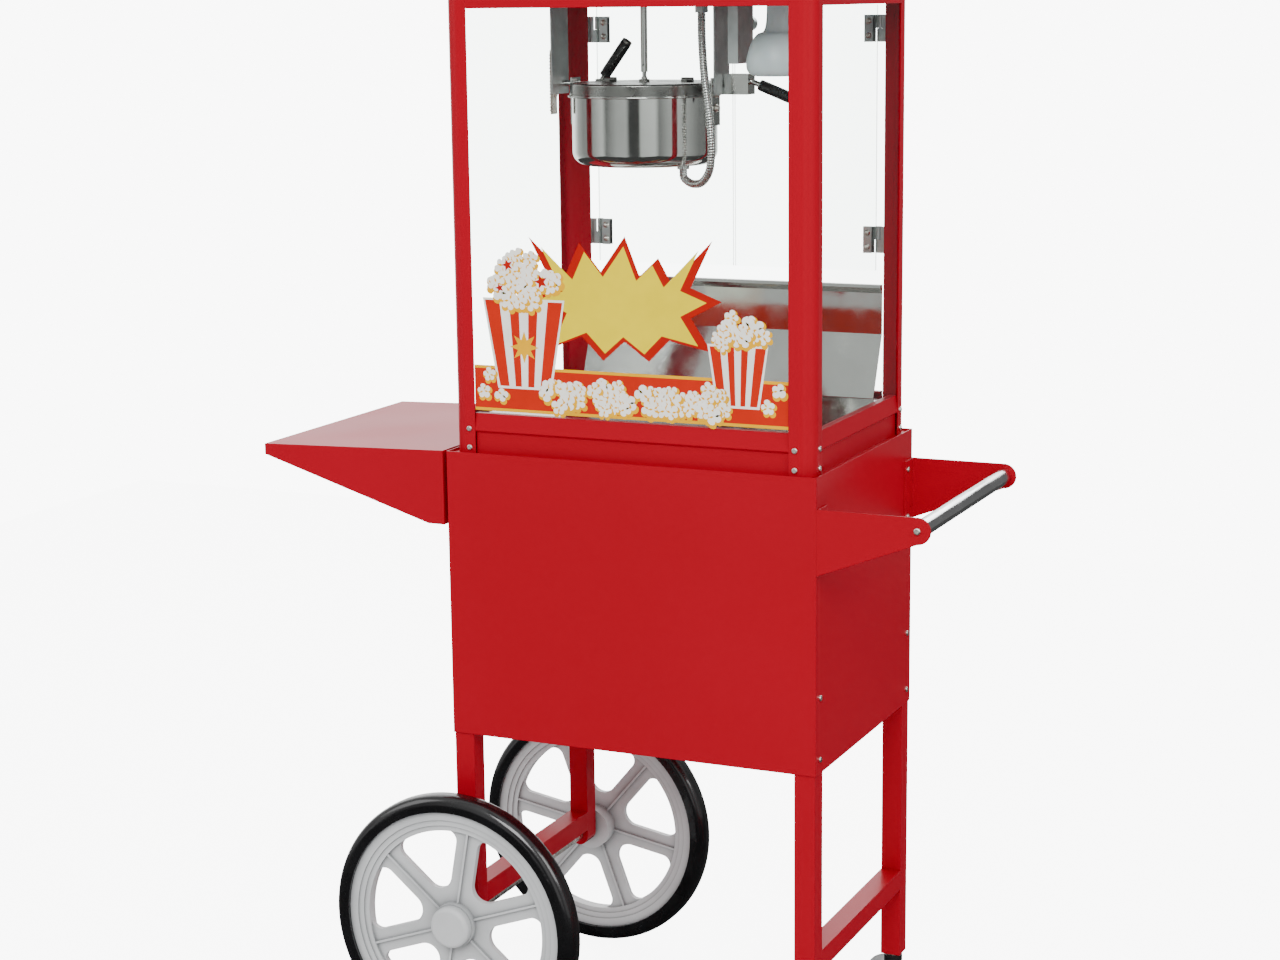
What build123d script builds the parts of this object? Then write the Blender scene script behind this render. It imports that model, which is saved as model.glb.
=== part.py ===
from build123d import *
import math
import os

# Popcorn maker on a cart: a glazed popping cabinet standing on a wheeled sheet-steel cart.
# Millimetres. +Z is up, +X is to the customer's right, and the customer stands at -Y.
# The origin is on the floor, under the middle of the whole object.

# ---------------------------------------------------------------- driving sizes: cart
body_width = 520.0            # cart box, left to right
body_depth = 378.0            # cart box, front to back
body_height = 386.0           # cart box, underside to rim
ground_clearance = 440.0      # cart box underside above the floor
sheet = 1.5                   # all folded sheet steel
rim_lip = 3.0                 # rim of the cart box above its deck
leg_size = 28.0               # square leg tube
leg_wall = 1.5
leg_overlap = 130.0           # length of leg inside the box
brace_drop = 243.0            # top of the right brace below the box underside
brace_over_axle = 10.0        # left brace above the axle's middle
floor_margin = 0.5            # gap round the legs in the floor plate

# big wheels, on a fixed axle through the left legs
tyre_radius = 182.0
tyre_width = 34.0
rim_radius = 160.0
rim_width = 24.0
rim_step_radius = 140.0       # thin inner band of the rim starts here
window_radius = 132.5         # outer edge of the openings between spokes
web_thickness = 8.0
rib_thickness = 3.0
spoke_count = 6
spoke_width = 32.0
hub_radius = 31.0
hub_length = 40.0
wheel_gap = 33.6              # wheel's middle plane outside the cart box
axle_radius = 6.0
running_clearance = 0.05      # radial, shaft in bore
cap_radius = 28.5
cap_height = 14.0
cap_wall = 2.0

# twin-wheel casters under the right legs
caster_height = 70.0
caster_wheel_radius = 25.0
caster_wheel_width = 17.0
caster_web = 9.0
caster_trail = 18.0
caster_axle_radius = 3.0
caster_stem_radius = 5.0
hood_wall = 2.8

# side shelf
shelf_span = 283.0            # tip of the shelf beyond the cart box
shelf_gap = 6.0
shelf_droop = 8.0             # tip lower than the root
shelf_tip = 14.5              # depth of the turned-down edge at the tip
shelf_root = 100.0
shelf_flat = 24.0             # level stretch under the root

# push handle
handle_reach = 131.0          # bar's middle beyond the cart box
handle_drop = 57.0            # bar's middle below the rim
handle_end_radius = 17.0
handle_root = 85.0            # height of the bracket at the box
handle_bar_radius = 11.0
bracket_sheet = 2.5

# ---------------------------------------------------------------- driving sizes: cabinet
cabinet_inset = 7.5           # cabinet faces inside the cart box's faces
post_face = 32.5              # width of a corner post on each face
post_radius = 20.0            # rounded outer corner
sill_top = 52.0               # bottom of the windows above the rim
sill_bottom = 29.0
sill_slope = 3.0              # sill leans out this much from top to bottom
skirt_recess = 4.0
window_top = 574.0
header_height = 95.0
roof_height = 45.0
roof_overhang = 5.0
roof_edge = 20.0
pane = 3.0                    # glass
door_pane = 4.0               # clear acrylic doors
pane_gap = 0.3
ceiling_rise = 18.0           # ceiling plate above the window's top edge
tray_height = 46.0            # perforated tray floor above the rim
slot_width = 6.0
slot_length = 40.0
door_bottom = 216.0           # doors start above the guard
door_gap = 1.5
guard_top = 198.0
guard_bend = 130.0
guard_shift = 34.0
drawer_width = 300.0
drawer_depth = 270.0
drawer_height = 32.0
drawer_lift = 5.0             # drawer underside above the deck
drawer_gap = 1.0
hinge_inboard = 11.0          # hinge pin from the post's inner edge
hinge_pin_radius = 2.0
hinge_barrel_radius = 4.2
hinge_leaf = 1.6
hinge_height = 36.0
hinge_levels = (258.0, 541.0)

# ---------------------------------------------------------------- driving sizes: kettle
kettle_from_left = 224.0      # kettle axis from the cart box's left face
kettle_from_front = 153.0
kettle_radius = 95.0
kettle_wall = 1.5
kettle_corner = 18.0
kettle_bottom = 371.0         # above the rim
kettle_rim = 462.0
pivot_height = 475.0
lid_radius = 97.5
lid_sheet = 1.5
lid_top = 477.0
flap_offset = 14.0            # flap's hinge line behind the kettle axis
flap_pin_radius = 1.5
flap_barrel_radius = 3.0
hub_top = 481.0
trunnion_radius = 4.0
trunnion_face = 101.0         # trunnion plate from the kettle axis
hanger_face = 114.0
hanger_sheet = 2.0
hanger_front = 40.0
hanger_back = 9.0
grip_radius = 7.0
grip_length = 57.0
rod_radius = 4.5
stirrer_radius = 4.0
blade_width = 7.0
blade_thickness = 3.0
blade_top = 498.0
fork_bottom = 490.0
fork_ceiling = 500.5
lamp_from_left = 426.0
lamp_from_front = 111.0
lamp_bottom = 487.0
lamp_radius = 39.0
lamp_glass = 1.2
conduit_radius = 5.5
rocker_radius = 11.0
rocker_width = 17.4
bezel_gap = 0.25
switch_pitch = 42.0

# ---------------------------------------------------------------- places worked out from them
handle_overhang = handle_reach + handle_end_radius
left = -(body_width + handle_overhang - shelf_span) / 2
right = left + body_width
front = -body_depth / 2
back = body_depth / 2
underside = ground_clearance
rim = underside + body_height
deck = rim - rim_lip
axle_x = left + sheet + leg_size / 2
axle_z = tyre_radius
leg_front = front + sheet
leg_back = back - sheet
caster_x = right - sheet - leg_size / 2
caster_ys = (leg_front + leg_size / 2, leg_back - leg_size / 2)
cab_left = left + cabinet_inset
cab_right = right - cabinet_inset
cab_front = front + cabinet_inset
cab_back = back - cabinet_inset
cab_middle = (cab_left + cab_right) / 2
header_bottom = rim + window_top
header_top = header_bottom + header_height
roof_top = header_top + roof_height
ceiling = header_bottom + ceiling_rise
tray_z = rim + tray_height
kettle_x = left + kettle_from_left
kettle_y = front + kettle_from_front
pivot_z = rim + pivot_height
lamp_x = left + lamp_from_left
lamp_y = front + lamp_from_front
door_plane = cab_back + 0.5   # inner face of the doors
hinge_y = door_plane + door_pane + hinge_barrel_radius

os.makedirs("parts", exist_ok=True)


# ---------------------------------------------------------------- plain shapes
def block(x0, x1, y0, y1, z0, z1):
    """A box between two opposite corners."""
    return Pos((x0 + x1) / 2, (y0 + y1) / 2, (z0 + z1) / 2) * Box(x1 - x0, y1 - y0, z1 - z0)


def bar_x(x0, x1, y, z, radius):
    """A round bar along X."""
    return Pos((x0 + x1) / 2, y, z) * Rot(0, 90, 0) * Cylinder(radius, x1 - x0)


def bar_y(y0, y1, x, z, radius):
    """A round bar along Y."""
    return Pos(x, (y0 + y1) / 2, z) * Rot(90, 0, 0) * Cylinder(radius, y1 - y0)


def bar_z(z0, z1, x, y, radius):
    """A round bar along Z."""
    return Pos(x, y, (z0 + z1) / 2) * Cylinder(radius, z1 - z0)


def prism_y(outline, y0, y1):
    """An outline of (x, z) points, drawn out from y0 to y1."""
    face = make_face(Polyline(*[(x, 0, z) for x, z in outline], close=True))
    return Pos(0, y0, 0) * extrude(face, amount=y1 - y0, dir=(0, 1, 0))


def prism_x(outline, x0, x1):
    """An outline of (y, z) points, drawn out from x0 to x1."""
    face = make_face(Polyline(*[(0, y, z) for y, z in outline], close=True))
    return Pos(x0, 0, 0) * extrude(face, amount=x1 - x0, dir=(1, 0, 0))


def bar_between(start, end, radius):
    """A round bar between two points."""
    run = Vector(*end) - Vector(*start)
    plane = Plane(origin=start, z_dir=run)
    return plane * Pos(0, 0, run.length / 2) * Cylinder(radius, run.length)


def save(name, *shapes):
    """Write one node. Several shapes stay separate solids in it."""
    solids = [solid for shape in shapes for solid in shape.solids()]
    whole = solids[0] if len(solids) == 1 else Compound(children=solids)
    export_step(whole, f"parts/{name}.step")


def screw_head(point, direction, radius=3.8, height=2.2):
    """A pan head whose flat side sits on a face at the point, with a cross recess."""
    plane = Plane(origin=point, z_dir=direction)
    head = Pos(0, 0, height / 2) * Cylinder(radius, height)
    head = fillet(head.edges().filter_by(GeomType.CIRCLE).sort_by(Axis.Z)[-1], height * 0.6)
    for turn in (0, 90):
        head -= Pos(0, 0, height) * Rot(0, 0, turn) * Box(radius, 0.8, 1.6)
    return plane * head


# ---------------------------------------------------------------- cart box
def cart_box():
    """Folded front and side panels, a rear frame round the door opening, deck and floor."""
    inner_left = left + sheet
    inner_right = right - sheet
    save("cart_front_panel", block(left, right, front, front + sheet, underside, rim))
    side = block(left, inner_left, front + sheet, back - sheet, underside, rim)
    save("cart_side_panels", side, Pos(body_width - sheet, 0, 0) * side)
    frame = block(left, right, back - sheet, back, underside, rim)
    frame -= block(opening[0], opening[1], back - sheet - 1, back + 1, opening[2], opening[3])
    save("cart_rear_frame", frame)
    deck_plate = block(inner_left, inner_right, front + sheet, back - sheet, deck - sheet, deck)
    save("cart_deck", deck_plate)
    floor = block(inner_left, inner_right, front + sheet, back - sheet, underside, underside + sheet)
    reach = leg_size + floor_margin
    for x in (inner_left + reach / 2, inner_right - reach / 2):
        for y in (front + sheet + reach / 2, back - sheet - reach / 2):
            floor -= Pos(x, y, underside) * Box(reach, reach, 8)
    save("cart_floor", floor)


door_border = 42.0            # rear frame round the cart door's opening
door_lap = 8.0                # cart door laps over the frame
opening = (left + door_border, right - door_border, underside + door_border, rim - door_border)


def hinge_halves(x, y, z, side, leaf_y, reach_fixed, reach_moving):
    """A two-leaf hinge on a vertical pin. The moving leaf points to the given side (+1 is +X)."""
    half = hinge_height / 2
    pin = bar_z(z - half, z + half - 1, x, y, hinge_pin_radius)
    fixed = pin + bar_z(z - half, z - 0.2, x, y, hinge_barrel_radius)
    low, high = leaf_y, leaf_y + hinge_leaf
    ends = sorted((x, x - side * reach_fixed))
    fixed += block(ends[0], ends[1], low, high, z - half, z - 0.2)
    edges = sorted((x - side * (hinge_barrel_radius + 0.4), x - side * reach_fixed))
    fixed += block(edges[0], edges[1], low, high, z - half, z + half)
    moving = bar_z(z + 0.2, z + half, x, y, hinge_barrel_radius)
    ends = sorted((x, x + side * reach_moving))
    moving += block(ends[0], ends[1], low, high, z + 0.2, z + half)
    edges = sorted((x + side * (hinge_barrel_radius + 0.4), x + side * reach_moving))
    moving += block(edges[0], edges[1], low, high, z - half, z + half)
    moving -= bar_z(z - half, z + half + 1, x, y, hinge_pin_radius + running_clearance)
    return fixed, moving


def cart_door():
    """Rear door of the cart box, hung at its left edge, with turned-in stiffening and a knob."""
    x0, x1 = opening[0] - door_lap, opening[1] + door_lap
    z0, z1 = opening[2] - door_lap, opening[3] + door_lap
    y0 = back + 0.4
    leaf = block(x0, x1, y0, y0 + sheet, z0, z1)
    stiff = 2 * door_lap
    for x in (x0 + stiff, x1 - stiff - sheet):
        leaf += block(x, x + sheet, y0 - 10, y0, z0 + stiff, z1 - stiff)
    knob = bar_y(y0 + sheet, y0 + sheet + 10, x1 - 30, (z0 + z1) / 2, 5)
    knob += bar_y(y0 + sheet + 10, y0 + sheet + 20, x1 - 30, (z0 + z1) / 2, 12)
    posts = []
    pieces = [leaf, knob]
    for z in (z0 + 45, z1 - 45):
        y = y0 + sheet + hinge_barrel_radius
        post, moving = hinge_halves(x0 - 5, y, z, 1, y0 + sheet, 20, 26)
        spacer = block(x0 - 25, x0 - 10, back, y0 + sheet, z - hinge_height / 2, z + hinge_height / 2)
        posts.append(post + spacer)
        pieces.append(moving)
    save("cart_door", *pieces)
    return posts


# ---------------------------------------------------------------- legs and axle
def leg_tube(x, y, z0):
    """A square tube centred on x, y, from z0 up into the cart box, closed at its foot."""
    top = underside + leg_overlap
    tube = block(x - leg_size / 2, x + leg_size / 2, y - leg_size / 2, y + leg_size / 2, z0, top)
    inner = leg_size / 2 - leg_wall
    return tube - block(x - inner, x + inner, y - inner, y + inner, z0 + 4, top + 1)


def legs():
    """Left legs end round the axle; right legs stand on casters; a brace joins each pair."""
    half = leg_size / 2
    pair = []
    for y in caster_ys:
        leg = leg_tube(axle_x, y, axle_z - half)
        corner = block(axle_x - half, axle_x + half, y - half, y + half, axle_z - half, axle_z)
        corner -= bar_y(y - half, y + half, axle_x, axle_z, half)
        leg = leg - corner - bar_y(y - half - 1, y + half + 1, axle_x, axle_z, axle_radius + 0.1)
        pair.append(leg)
    save("left_legs", *pair)
    pair = []
    for y in caster_ys:
        leg = leg_tube(caster_x, y, caster_height)
        pair.append(leg - bar_z(caster_height - 1, caster_height + 9, caster_x, y, caster_stem_radius + 0.1))
    save("right_legs", *pair)
    braces = []
    for x, z0 in ((axle_x, axle_z + brace_over_axle), (caster_x, underside - brace_drop - leg_size)):
        y0, y1 = caster_ys[0] + half, caster_ys[1] - half
        brace = block(x - half, x + half, y0, y1, z0, z0 + leg_size)
        inner = half - leg_wall
        mid = z0 + half
        brace -= block(x - inner, x + inner, y0 - 1, y1 + 1, mid - inner, mid + inner)
        braces.append(brace)
    save("cross_members", *braces)


def axle():
    """Plain steel axle with a spacer tube between each leg and wheel hub."""
    reach = body_depth / 2 + wheel_gap + rim_width / 2
    pieces = [bar_y(-reach, reach, axle_x, axle_z, axle_radius)]
    inner_end = body_depth / 2 + wheel_gap + rim_width / 2 - hub_length
    for side in (-1, 1):
        y0, y1 = sorted((side * (body_depth / 2 - sheet), side * (inner_end - 0.4)))
        tube = bar_y(y0, y1, axle_x, axle_z, 11)
        pieces.append(tube - bar_y(y0 - 1, y1 + 1, axle_x, axle_z, axle_radius + 0.1))
    save("axle", *pieces)


def wheel(name, side, spoke_turn):
    """Moulded six-spoke wheel: stepped rim, flat spokes with a thin rib, hub, tyre and cap."""
    sector = math.radians(180 / spoke_count)
    apex = spoke_width / 2 / math.sin(sector)
    far = window_radius * 1.6
    wedge = Polyline(
        (apex, 0, 0),
        (apex + far * math.cos(sector), far * math.sin(sector), 0),
        (apex + far * math.cos(sector), -far * math.sin(sector), 0),
        close=True,
    )
    window = make_face(wedge) & Circle(window_radius)
    corners = window.vertices().sort_by(Axis.X)
    window = fillet(corners[1:], 14)
    window = fillet(window.vertices().sort_by(Axis.X)[:1], 20)
    hole = Pos(0, 0, -web_thickness) * extrude(window, amount=2 * web_thickness)
    rim_half = rim_width / 2
    body = Cylinder(window_radius + 2, web_thickness)
    for number in range(spoke_count):
        body -= Rot(0, 0, (number + 0.5) * 360 / spoke_count) * hole
    rings = (
        (window_radius, rim_step_radius, rim_half - 4),
        (rim_step_radius, rim_step_radius + 8, rim_half - 2),
        (rim_step_radius + 8, rim_radius, rim_half),
    )
    for inner, outer, half in rings:
        body += Cylinder(outer, 2 * half) - Cylinder(inner, 2 * half + 1)
    groove = Cylinder(rim_radius + 1, 12) - Cylinder(rim_radius - 4, 13)
    body -= groove
    for number in range(spoke_count):
        spoke = Box(rim_step_radius - 10, rib_thickness, web_thickness + 7)
        body += Rot(0, 0, number * 360 / spoke_count) * Pos(rim_step_radius / 2 + 5, 0, 0) * spoke
    body += Pos(0, 0, rim_half - hub_length / 2) * Cylinder(hub_radius, hub_length)
    body += Pos(0, 0, rim_half + 1.5) * Cylinder(cap_radius - cap_wall - 0.1, 3)
    body -= Cylinder(axle_radius + running_clearance, 4 * hub_length)
    tyre = Cylinder(tyre_radius, tyre_width)
    edges = tyre.edges().filter_by(GeomType.CIRCLE)
    tyre = fillet(edges, 13) - Cylinder(rim_radius + 0.1, tyre_width + 1)
    bead = Cylinder(rim_radius + 5, 11) - Cylinder(rim_radius - 3.5, 11.5)
    tyre += bead
    cap = Pos(0, 0, rim_half + cap_height / 2) * Cylinder(cap_radius, cap_height)
    cap = fillet(cap.edges().filter_by(GeomType.CIRCLE).sort_by(Axis.Z)[-1], 6)
    cap -= Pos(0, 0, rim_half + (cap_height - cap_wall) / 2) * Cylinder(cap_radius - cap_wall, cap_height - cap_wall)
    place = Pos(axle_x, side * (body_depth / 2 + wheel_gap), axle_z) * Rot(-90 * side, 0, 0) * Rot(0, 0, spoke_turn)
    save(name + "_wheel_rim", place * body)
    save(name + "_wheel_tyre", place * tyre)
    save(name + "_hub_cap", place * cap)


# ---------------------------------------------------------------- casters
def caster(name, y):
    """Twin-wheel caster: a hood that swivels on a stem, and two wheels on one axle."""
    wheel_x = caster_x - caster_trail
    radius = caster_wheel_radius
    inner = caster_web / 2 + 0.5
    outer = inner + caster_wheel_width
    hood = bar_y(y - outer - 1, y + outer + 1, wheel_x, radius, radius + 1.5 + hood_wall)
    hood -= block(wheel_x - 60, wheel_x + 60, y - 60, y + 60, -20, radius + 4)
    hood += bar_z(radius, caster_height - 4, caster_x, y, 13)
    web = bar_y(y - caster_web / 2, y + caster_web / 2, wheel_x, radius, radius - 4)
    for side in (-1, 1):
        y0, y1 = sorted((y + side * (caster_web / 2), y + side * (outer + 0.6)))
        hood -= bar_y(y0, y1, wheel_x, radius, radius + 1.2)
    hood += web
    stem_foot = caster_height - 20
    hood -= bar_z(stem_foot - 0.4, caster_height, caster_x, y, caster_stem_radius + running_clearance)
    hood -= bar_y(y - outer - 5, y + outer + 5, wheel_x, radius, caster_axle_radius + running_clearance)
    save(name + "_caster_hood", hood)
    wheels = bar_y(y - outer, y + outer, wheel_x, radius, caster_axle_radius)
    for side in (-1, 1):
        y0, y1 = sorted((y + side * inner, y + side * outer))
        disc = bar_y(y0, y1, wheel_x, radius, radius)
        wheels += fillet(disc.edges().filter_by(GeomType.CIRCLE), 3)
    save(name + "_caster_wheels", wheels)
    stem = bar_z(stem_foot, caster_height + 4, caster_x, y, caster_stem_radius)
    return stem + bar_z(caster_height - 3.5, caster_height, caster_x, y, 9)


# ---------------------------------------------------------------- shelf and handle
def side_shelf():
    """Drooping folded shelf: top, tip edge, root flange and two tapering gussets."""
    root_x = left - shelf_gap
    tip_x = left - shelf_span
    top_root = rim
    top_tip = rim - shelf_droop
    outline = [
        (root_x, top_root),
        (tip_x, top_tip),
        (tip_x, top_tip - shelf_tip),
        (root_x - shelf_flat, top_root - shelf_root),
        (root_x, top_root - shelf_root),
    ]
    shelf = prism_y(outline, front, back)
    slope = (top_root - top_tip) / (root_x - tip_x)
    inner_root = root_x - sheet
    inner_tip = tip_x + sheet
    hollow = [
        (inner_root, top_root - sheet - slope * sheet),
        (inner_tip, top_root - sheet - slope * (root_x - inner_tip)),
        (inner_tip, top_tip - shelf_tip - 60),
        (inner_root, top_root - shelf_root - 60),
    ]
    shelf -= prism_y(hollow, front + sheet, back - sheet)
    save("side_shelf", shelf)


def push_handle():
    """Two flanged brackets on the box's right side carry a chromed bar."""
    bar_x0 = right + handle_reach
    bar_z0 = rim - handle_drop
    top = bar_z0 + handle_end_radius
    brackets = []
    for side in (-1, 1):
        face = side * body_depth / 2
        y0, y1 = sorted((face, face - side * bracket_sheet))
        plate = prism_y(
            [
                (right, top),
                (bar_x0, top),
                (bar_x0 + 5, bar_z0 - handle_end_radius + 0.8),
                (bar_x0, bar_z0 - handle_end_radius),
                (right, top - handle_root),
            ],
            y0,
            y1,
        )
        plate += bar_y(y0, y1, bar_x0, bar_z0, handle_end_radius)
        f0, f1 = sorted((face, face - side * 34))
        plate += block(right, right + bracket_sheet, f0, f1, top - handle_root, top)
        brackets.append(plate)
    save("handle_brackets", *brackets)
    y_end = body_depth / 2 - bracket_sheet
    bar = bar_y(-y_end, y_end, bar_x0, bar_z0, handle_bar_radius)
    bar -= bar_y(-y_end + 6, y_end - 6, bar_x0, bar_z0, handle_bar_radius - 1.5)
    save("handle_bar", bar)
    heads = []
    for side in (-1, 1):
        heads.append(screw_head((bar_x0, side * body_depth / 2, bar_z0), (0, side, 0), 4.5, 2.8))
        y = side * (body_depth / 2 - 24)
        for drop in (handle_drop - 4, handle_drop + 61):
            heads.append(screw_head((right + bracket_sheet, y, rim - drop), (1, 0, 0)))
    return heads


def cart_screws():
    """Pan heads that hold the legs, the shelf and the cabinet posts."""
    heads = []
    for y in caster_ys:
        for height in (19.0, 100.0):
            heads.append(screw_head((right, y, underside + height), (1, 0, 0)))
            heads.append(screw_head((left, y, underside + height), (-1, 0, 0)))
    edge = post_face - 8.5
    for height in (6.0, 31.0):
        for x, side in ((cab_left + edge, -1), (cab_right - edge, 1)):
            heads.append(screw_head((x, cab_front, rim + height), (0, -1, 0)))
            heads.append(screw_head((x, cab_back, rim + height), (0, 1, 0)))
        for y in (cab_front + edge, cab_back - edge):
            heads.append(screw_head((cab_left, y, rim + height), (-1, 0, 0)))
            heads.append(screw_head((cab_right, y, rim + height), (1, 0, 0)))
    for y in (front + 30, back - 30):
        for drop in (25.0, 75.0):
            spacer = bar_x(left - shelf_gap, left, y, rim - drop, 6)
            heads.append(spacer)
    return heads


# ---------------------------------------------------------------- cabinet frame
def corner_posts():
    """Folded posts with a rounded outer corner and a flat strip beside each window."""
    tall = header_top - deck
    outer = block(0, post_face, 0, post_face, 0, tall)
    near = outer.edges().filter_by(Axis.Z).sort_by(lambda e: e.center().X + e.center().Y)[0]
    outer = fillet(near, post_radius)
    inner = block(sheet, post_face + 5, sheet, post_face + 5, -1, tall + 1)
    near = inner.edges().filter_by(Axis.Z).sort_by(lambda e: e.center().X + e.center().Y)[0]
    inner = fillet(near, post_radius - sheet)
    post = outer - inner
    posts = []
    for x, y, turn in (
        (cab_left, cab_front, 0),
        (cab_right, cab_front, 90),
        (cab_right, cab_back, 180),
        (cab_left, cab_back, 270),
    ):
        posts.append(Pos(x, y, deck) * Rot(0, 0, turn) * post)
    save("corner_posts", *posts)


def rail_outline(face, inward):
    """Section of a base rail: sloping sill above, recessed skirt and a foot on the deck."""
    top, low = rim + sill_top, rim + sill_bottom
    skirt = face + inward * skirt_recess
    brow = face + inward * 0.2
    crown = face + inward * (sill_slope + 0.2)
    return [
        (crown + inward * 10, top),
        (crown, top),
        (brow, low),
        (skirt, low - 3),
        (skirt, deck),
        (skirt + inward * 16, deck),
        (skirt + inward * 16, deck + sheet),
        (skirt + inward * sheet, deck + sheet),
        (skirt + inward * sheet, low - 3 + 1),
        (brow + inward * sheet, low + 0.6),
        (crown + inward * sheet, top - sheet),
        (crown + inward * 10, top - sheet),
    ]


def base_rails():
    """Four folded rails between the posts; the rear one is pierced for the drawer."""
    x0, x1 = cab_left + post_face, cab_right - post_face
    y0, y1 = cab_front + post_face, cab_back - post_face
    save("base_rail_front", prism_y_yz(rail_outline(cab_front, 1), x0, x1))
    rear = prism_y_yz(rail_outline(cab_back, -1), x0, x1)
    half = drawer_width / 2 + drawer_gap
    top = deck + drawer_lift + drawer_height + drawer_gap
    rear -= block(cab_middle - half, cab_middle + half, cab_back - 40, cab_back + 5, deck - 1, top)
    save("base_rail_rear", rear)
    save(
        "base_rail_sides",
        prism_y(rail_outline(cab_left, 1), y0, y1),
        prism_y(rail_outline(cab_right, -1), y0, y1),
    )


def prism_y_yz(outline, x0, x1):
    """A rail section of (y, z) points, drawn out along X."""
    return prism_x(outline, x0, x1)


def header():
    """Header panels between the posts, ceiling plate, and a tray-shaped roof."""
    x0, x1 = cab_left + post_face, cab_right - post_face
    y0, y1 = cab_front + post_face, cab_back - post_face
    z0, z1 = header_bottom, header_top
    lip = 12.0

    def panel(face, inward):
        low, high = face, face + inward * sheet
        turn = face + inward * lip
        return [
            (low, z0),
            (low, z1),
            (turn, z1),
            (turn, z1 - sheet),
            (high, z1 - sheet),
            (high, z0),
        ]

    save("header_front", prism_x(panel(cab_front, 1), x0, x1))
    rear = prism_x(panel(cab_back, -1), x0, x1)
    for x in switch_xs:
        half_x, half_z = rocker_width / 2 + bezel_gap, rocker_radius + bezel_gap
        rear -= block(x - half_x, x + half_x, cab_back - 4, cab_back + 4, switch_z - half_z, switch_z + half_z)
    rear -= bar_y(cab_back - 4, cab_back + 4, gland_x, gland_z, gland_radius)
    save("header_rear", rear)
    save("header_sides", prism_y(panel(cab_left, 1), y0, y1), prism_y(panel(cab_right, -1), y0, y1))
    edge = sheet + pane_gap
    plate = block(cab_left + edge, cab_right - edge, cab_front + edge, cab_back - edge, ceiling, ceiling + sheet)
    for x in (cab_left, cab_right):
        for y in (cab_front, cab_back):
            plate -= Pos(x, y, ceiling) * Box(2 * post_face, 2 * post_face, 8)
    plate -= bar_z(ceiling - 2, ceiling + 4, kettle_x, kettle_y, rod_radius + 3)
    plate -= bar_z(ceiling - 2, ceiling + 4, lamp_x, lamp_y, 17)
    save("ceiling_plate", plate)
    over = roof_overhang
    slab = block(cab_left - over, cab_right + over, cab_front - over, cab_back + over, header_top, roof_top)
    top_edges = slab.faces().sort_by(Axis.Z)[-1].edges()
    slab = chamfer(top_edges, roof_height - roof_edge)
    slab = fillet(slab.faces().sort_by(Axis.Z)[-1].edges(), 8)
    inside = block(
        cab_left - over + sheet,
        cab_right + over - sheet,
        cab_front - over + sheet,
        cab_back + over - sheet,
        header_top - 1,
        roof_top - sheet,
    )
    inside = chamfer(inside.faces().sort_by(Axis.Z)[-1].edges(), roof_height - roof_edge)
    save("roof", slab - inside)


switch_xs = [cab_middle - switch_pitch, cab_middle, cab_middle + switch_pitch]
switch_z = header_bottom + header_height / 2
gland_x = cab_right - 70
gland_z = switch_z
gland_radius = 8.0


def tray():
    """Pressed floor of the cabinet, with rows of slots over the drawer."""
    x0, x1 = cab_left + 10, cab_right - 10
    y0, y1 = cab_front + 10, cab_back - 10
    z0 = tray_z - sheet
    plate = block(x0, x1, y0, y1, z0, tray_z)
    for x in (cab_left, cab_right):
        for y in (cab_front, cab_back):
            plate -= Pos(x, y, tray_z) * Box(2 * post_face + 1, 2 * post_face + 1, 8)
    slot = Pos(0, 0, z0 + sheet / 2) * extrude(SlotOverall(slot_length, slot_width), amount=4, both=True)
    for row in range(5):
        for column in range(5):
            x = cab_middle + (column - 2) * 1.35 * slot_length
            y = (row - 2) * 3.2 * slot_width
            plate -= Pos(x, y, 0) * slot
    save("tray_floor", plate)


def drawer():
    """Crumb drawer under the tray: an open box with its own front and a turned knob."""
    x0, x1 = cab_middle - drawer_width / 2, cab_middle + drawer_width / 2
    y1 = cab_back - skirt_recess
    y0 = y1 - drawer_depth
    z0 = deck + drawer_lift
    z1 = z0 + drawer_height
    box = block(x0, x1, y0, y1, z0, z1)
    box -= block(x0 + sheet, x1 - sheet, y0 + sheet, y1 - sheet, z0 + sheet, z1 + 1)
    knob = bar_y(y1, y1 + 8, cab_middle, (z0 + z1) / 2, 5)
    knob += bar_y(y1 + 8, y1 + 18, cab_middle, (z0 + z1) / 2, 10)
    save("drawer", box, knob)


def rear_guard():
    """Polished guard behind the tray: upright below the doors, then leaning in to the tray."""
    x0, x1 = cab_left + post_face + 1, cab_right - post_face - 1
    outer = cab_back - 3
    low = tray_z + 0.5
    bend = rim + guard_bend
    top = rim + guard_top
    outline = [
        (outer, top),
        (outer, bend),
        (outer - guard_shift, low),
        (outer - guard_shift - sheet * 1.1, low),
        (outer - sheet, bend),
        (outer - sheet, top - 12),
        (outer - 9, top - 4),
        (outer - 8, top),
    ]
    save("rear_guard", prism_x(outline, x0, x1))


def panes():
    """Front pane inside the posts, and one pane on each side."""
    z0 = rim + sill_top + 0.5
    z1 = ceiling - 1
    clear = post_radius + 2
    y0 = cab_front + sheet + pane_gap
    front_pane = block(cab_left + clear, cab_right - clear, y0, y0 + pane, z0, z1)
    sides = [front_pane]
    for side, face in ((1, cab_left), (-1, cab_right)):
        x0, x1 = sorted((face + side * (sheet + pane_gap), face + side * (sheet + pane_gap + pane)))
        sides.append(block(x0, x1, cab_front + clear, cab_back - clear, z0, z1))
    save("glass_panes", *sides)


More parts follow.
